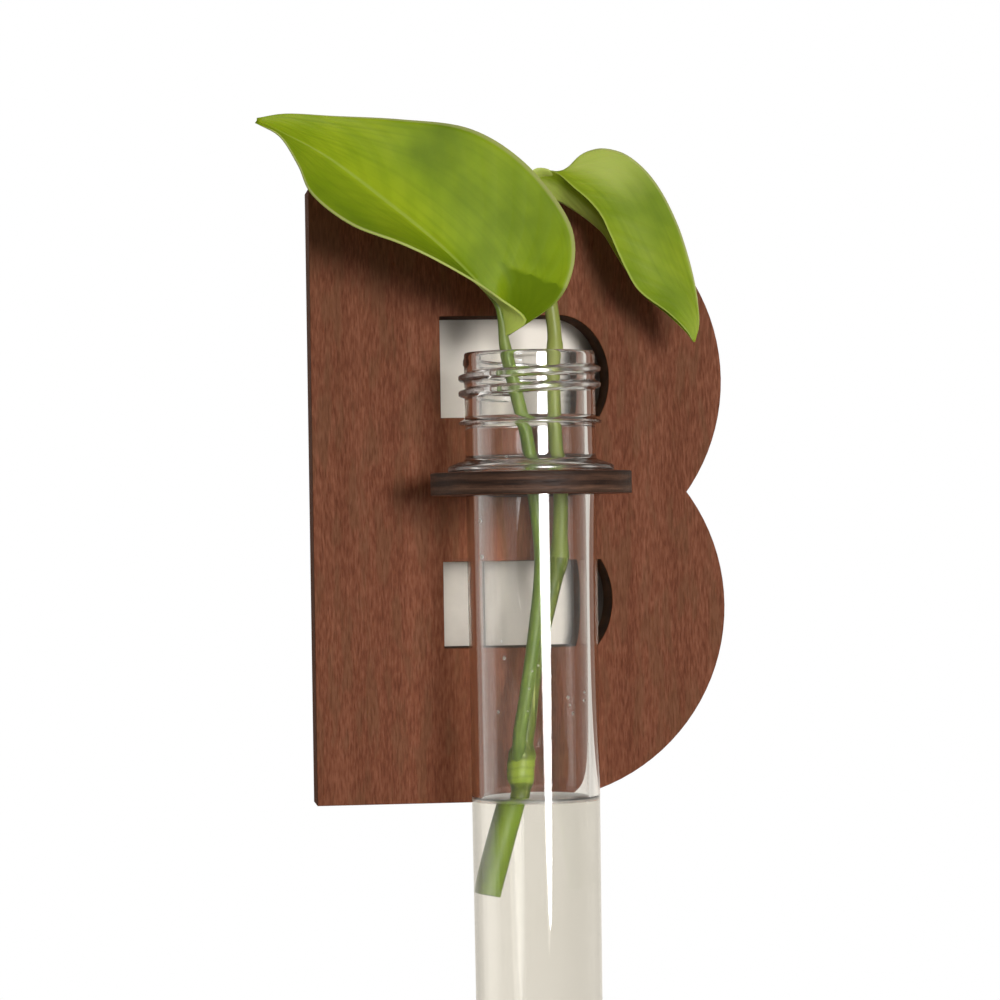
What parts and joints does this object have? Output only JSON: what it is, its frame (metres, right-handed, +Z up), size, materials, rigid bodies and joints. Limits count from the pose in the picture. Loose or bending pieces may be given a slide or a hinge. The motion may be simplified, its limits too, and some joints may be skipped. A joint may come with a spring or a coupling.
{
  "type": "hydroponic wall planter",
  "caption": "Wooden letter board that hangs on a wall, with a round shelf that holds a clear screw-neck tube of water and a rooted leaf cutting.",
  "frame": {"origin": "on the back face of the board, in the middle of its width and height", "axes": "+X to the right as seen from the front, +Y into the wall, +Z up"},
  "size_m": [0.0959, 0.0527, 0.1981],
  "materials": {
    "board_wood": "satin",
    "shelf_wood": "matte",
    "plate_steel": "satin",
    "screw_steel": "satin",
    "clear_plastic": "gloss",
    "water": "polished",
    "stem": "satin",
    "petiole": "satin",
    "large_leaf": "satin",
    "small_leaf": "satin"
  },
  "bodies": {
    "board": {"letter_board": "board_wood", "tube_shelf": "shelf_wood", "keyhole_plate_upper": "plate_steel", "keyhole_plate_lower": "plate_steel", "plate_screw_upper_left": "screw_steel", "plate_screw_upper_right": "screw_steel", "plate_screw_lower_left": "screw_steel", "plate_screw_lower_right": "screw_steel"},
    "filled_tube": {"tube": "clear_plastic", "water": "water"},
    "cutting": {"cutting_stem": "stem", "petiole_left": "petiole", "petiole_right": "petiole", "leaf_left": "large_leaf", "leaf_right": "small_leaf"}
  },
  "joints": [
    {"name": "tube_lift", "type": "slide", "parent": "board", "child": "filled_tube", "axis": [0, 0, 1], "range_m": [0, 0.14]},
    {"name": "cutting_lift", "type": "slide", "parent": "filled_tube", "child": "cutting", "axis": [0, 0, 1], "range_m": [0, 0.115], "deforming": ["water"]}
  ]
}
